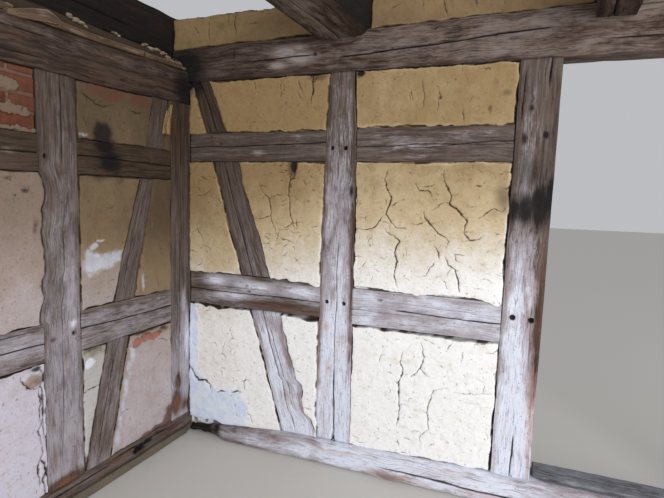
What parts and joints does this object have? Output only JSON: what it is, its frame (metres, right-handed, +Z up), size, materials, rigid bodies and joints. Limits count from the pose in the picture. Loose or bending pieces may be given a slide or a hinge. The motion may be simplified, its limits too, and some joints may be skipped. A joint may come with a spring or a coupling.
{
  "type": "half-timbered wall corner with doorway",
  "caption": "Inside corner of an old half-timbered house: a clay-panelled oak cross wall with an open doorway meets a plastered outer wall, with plates and joist ends above.",
  "frame": {"origin": "middle of the footprint's box at ground level", "axes": "+X along the cross wall away from the corner, -Y along the outer wall into the room, +Z up"},
  "size_m": [3.453, 2.26, 2.585],
  "materials": {
    "grey_oak": "hewn oak, weathered grey-brown, with long drying cracks and worm holes",
    "dark_oak": "hewn oak, browned and dusty under the ceiling",
    "ochre_clay": "ochre-washed clay daub, cracked, chalky and matt",
    "lime_plaster": "worn lime plaster over clay, stained, patched and matt",
    "old_brick": "bare hand-made brick with remains of plaster",
    "clay_bed": "loose clay and laths, dusty",
    "footing": "rough stone and mortar, grey and dusty"
  },
  "bodies": {
    "root": {"band_left_panel": "ochre_clay", "band_middle_panel": "ochre_clay", "band_right_panel": "ochre_clay", "corner_post": "grey_oak", "cross_wall_brace": "grey_oak", "cross_wall_end_post": "grey_oak", "cross_wall_sill": "grey_oak", "door_post": "grey_oak", "far_door_post": "grey_oak", "girt": "dark_oak", "lower_corner_panel": "ochre_clay", "lower_left_panel": "ochre_clay", "lower_plate": "dark_oak", "lower_rail_left": "grey_oak", "lower_rail_right": "grey_oak", "lower_right_panel": "ochre_clay", "mid_joist": "dark_oak", "middle_corner_panel": "ochre_clay", "middle_left_panel": "ochre_clay", "middle_post": "grey_oak", "middle_right_panel": "ochre_clay", "near_lower_corner_panel": "lime_plaster", "near_lower_panel": "lime_plaster", "near_lower_rail": "grey_oak", "near_middle_corner_panel": "lime_plaster", "near_middle_panel": "lime_plaster", "near_upper_corner_panel": "lime_plaster", "near_upper_panel": "lime_plaster", "near_upper_rail": "grey_oak", "outer_brick_panel": "old_brick", "outer_lower_panel": "lime_plaster", "outer_lower_rail": "grey_oak", "outer_middle_panel": "lime_plaster", "outer_upper_rail": "grey_oak", "plate_bed": "clay_bed", "right_joist": "dark_oak", "side_end_post": "grey_oak", "side_joist": "dark_oak", "side_plinth": "footing", "side_post": "grey_oak", "side_wall_brace": "grey_oak", "side_wall_sill": "grey_oak", "threshold_board": "grey_oak", "upper_corner_panel": "ochre_clay", "upper_left_panel": "ochre_clay", "upper_plate": "dark_oak", "upper_rail_left": "grey_oak", "upper_rail_right": "grey_oak", "upper_right_panel": "ochre_clay"}
  },
  "joints": []
}
